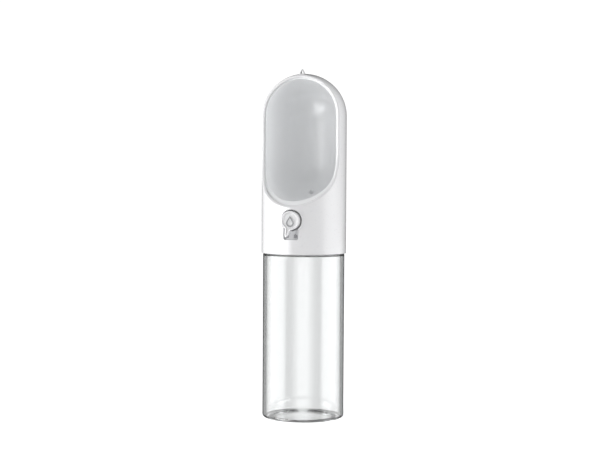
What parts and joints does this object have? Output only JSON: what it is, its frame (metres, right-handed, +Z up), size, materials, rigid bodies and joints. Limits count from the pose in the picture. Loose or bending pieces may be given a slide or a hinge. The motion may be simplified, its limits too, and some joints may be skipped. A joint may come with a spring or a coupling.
{
  "type": "dog travel water bottle",
  "caption": "Clear bottle with a screw-on white head that holds a drinking dish, a filter and a sprung valve behind a locking push key.",
  "frame": {"origin": "on the bottle's axis, in the plane that the bottle stands on", "axes": "+Z up along the bottle's axis, -Y towards the open side of the dish and the key, +X to the right seen from the front"},
  "size_m": [0.065, 0.0675, 0.2667],
  "materials": {
    "clear_tritan": "clear gloss",
    "white_abs": "gloss white",
    "dish_grey": "satin light grey",
    "inner_white": "satin off-white",
    "silicone": "translucent matte",
    "seal_rubber": "matte",
    "spring_steel": "drawn bright",
    "carbon": "matt, grainy",
    "grey_print": "matt pad print"
  },
  "bodies": {
    "bottle": {"bottle_body": "clear_tritan"},
    "rising_ring": {"neck_gasket": "silicone"},
    "head": {"head_shell": "white_abs", "drinking_dish": "dish_grey", "key_bezel": "white_abs", "lock_signs": "grey_print", "threaded_collar": "inner_white", "valve_body": "inner_white", "valve_screws": "spring_steel", "gland_plug": "inner_white", "stem_o_ring": "seal_rubber", "plug_o_rings": "seal_rubber", "end_plug": "inner_white", "inlet_o_ring": "seal_rubber", "outlet_sleeve": "silicone", "filter_cage": "inner_white", "carbon_block": "carbon", "filter_lid": "inner_white", "filter_screens": "spring_steel", "return_spring": "spring_steel"},
    "lock": {"lock_rotor": "inner_white", "rotor_clip": "spring_steel"},
    "key": {"water_key": "white_abs", "drop_sign": "grey_print", "key_clip": "spring_steel"},
    "stem": {"valve_stem": "inner_white", "valve_disc": "silicone"}
  },
  "joints": [
    {"name": "head_rise", "type": "slide", "parent": "bottle", "child": "rising_ring", "axis": [0, 0, 1], "range_m": [0, 0.00601]},
    {"name": "head_turn", "type": "hinge", "parent": "rising_ring", "child": "head", "pos_m": [0, 0, 0.1335], "axis": [0, 0, 1], "range_deg": [0, 540]},
    {"name": "lock_turn", "type": "hinge", "parent": "head", "child": "lock", "pos_m": [0, -0.026, 0.1516], "axis": [0, -1, 0], "range_deg": [0, 32]},
    {"name": "key_press", "type": "slide", "parent": "lock", "child": "key", "axis": [0, 1, 0], "range_m": [0, 0.002], "stiffness_N_per_m": 400, "springref_m": -0.004},
    {"name": "stem_slide", "type": "slide", "parent": "head", "child": "stem", "axis": [0, 1, 0], "range_m": [0, 0.002], "deforming": ["return_spring"]}
  ],
  "couplings": [
    {"joint": "head_rise", "follows": "head_turn", "m_per_rad": 0.00063662},
    {"joint": "stem_slide", "follows": "key_press", "ratio": 1}
  ]
}
